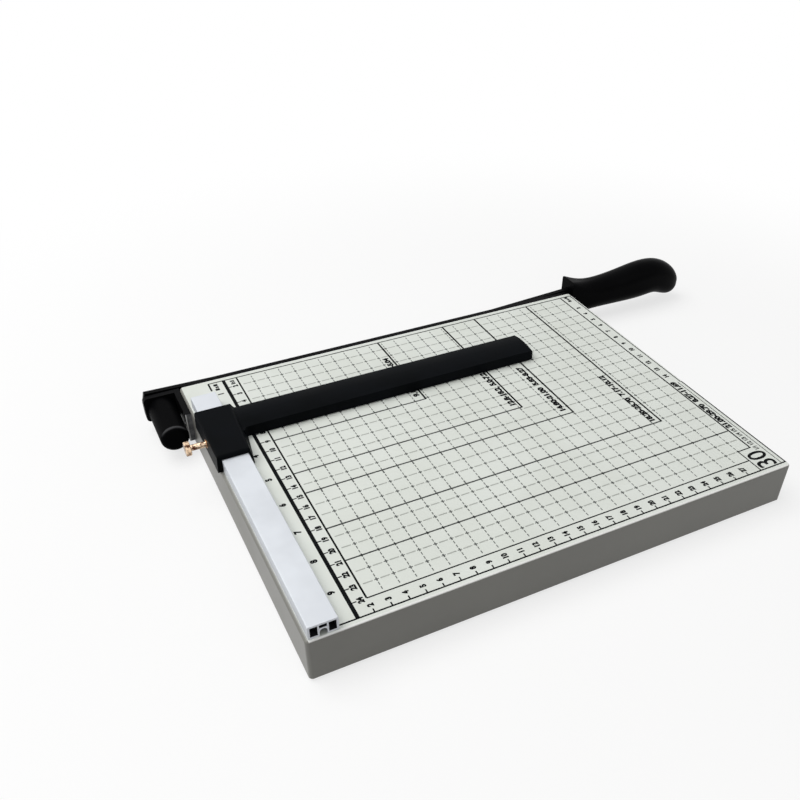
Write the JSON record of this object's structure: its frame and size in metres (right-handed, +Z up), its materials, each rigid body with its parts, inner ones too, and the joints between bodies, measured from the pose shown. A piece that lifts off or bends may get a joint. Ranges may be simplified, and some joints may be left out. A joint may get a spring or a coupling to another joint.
{
  "type": "paper cutter",
  "caption": "Desk guillotine paper cutter: printed steel tray bed, hinged knife arm with a handle, fence rail and a sliding T-shaped guide with a clamp screw.",
  "frame": {"origin": "middle of the whole footprint, pivot and handle included, on the surface that the feet stand on", "axes": "+X along the blade from the pivot to the handle, +Y from the operator to the blade, +Z up"},
  "size_m": [0.4638, 0.2672, 0.043],
  "materials": {
    "tray_paint": "satin baked enamel",
    "zinc_steel": "bright zinc",
    "foot_rubber": "matt",
    "blade_black": "semi-gloss black with ground edges",
    "black_steel": "semi-gloss black",
    "bronze": "turned",
    "spring_steel": "drawn wire",
    "black_plastic": "moulded, fine grain",
    "handle_plastic": "moulded, smooth",
    "brass": "turned and knurled",
    "rail_aluminium": "satin anodised",
    "pad_nylon": "matt"
  },
  "bodies": {
    "base": {"base_tray": "tray_paint", "cross_channel_left": "zinc_steel", "cross_channel_right": "zinc_steel", "foot_near_left": "foot_rubber", "foot_near_right": "foot_rubber", "foot_far_left": "foot_rubber", "foot_far_right": "foot_rubber", "foot_screws": "zinc_steel", "lower_knife": "blade_black", "lower_knife_screws": "zinc_steel", "lower_knife_washers": "zinc_steel", "pivot_bracket": "black_steel", "bracket_screws": "zinc_steel", "stop_pin": "black_steel", "pivot_bushing": "bronze", "thrust_washer": "bronze", "pivot_boot": "black_plastic", "fence_rail": "rail_aluminium", "rail_screws": "zinc_steel"},
    "knife": {"knife_arm": "blade_black", "handle_near_half": "handle_plastic", "handle_far_half": "handle_plastic", "handle_inserts": "brass", "handle_screws": "zinc_steel", "pivot_bolt": "black_steel", "pivot_spring": "spring_steel", "spring_washer": "zinc_steel", "pivot_nut": "zinc_steel"},
    "guide": {"paper_guide": "black_plastic", "guide_insert": "brass"},
    "pad": {"clamp_pad": "pad_nylon"},
    "clamp": {"thumb_screw": "brass"}
  },
  "joints": [
    {"name": "knife_swing", "type": "hinge", "parent": "base", "child": "knife", "pos_m": [-0.2207, 0.1198, 0.0178], "axis": [0, -1, 0], "range_deg": [0, 80]},
    {"name": "guide_slide", "type": "slide", "parent": "base", "child": "guide", "axis": [0, 1, 0], "range_m": [-0.1451, 0.0217]},
    {"name": "pad_slide", "type": "slide", "parent": "guide", "child": "pad", "axis": [-1, 0, 0], "range_m": [0, 0.0007]},
    {"name": "thumb_turn", "type": "hinge", "parent": "pad", "child": "clamp", "pos_m": [-0.2081, 0.0391, 0.0353], "axis": [-1, 0, 0], "range_deg": [0, 360]}
  ],
  "couplings": [
    {"joint": "thumb_turn", "follows": "pad_slide", "rad_per_m": 8975.9}
  ]
}
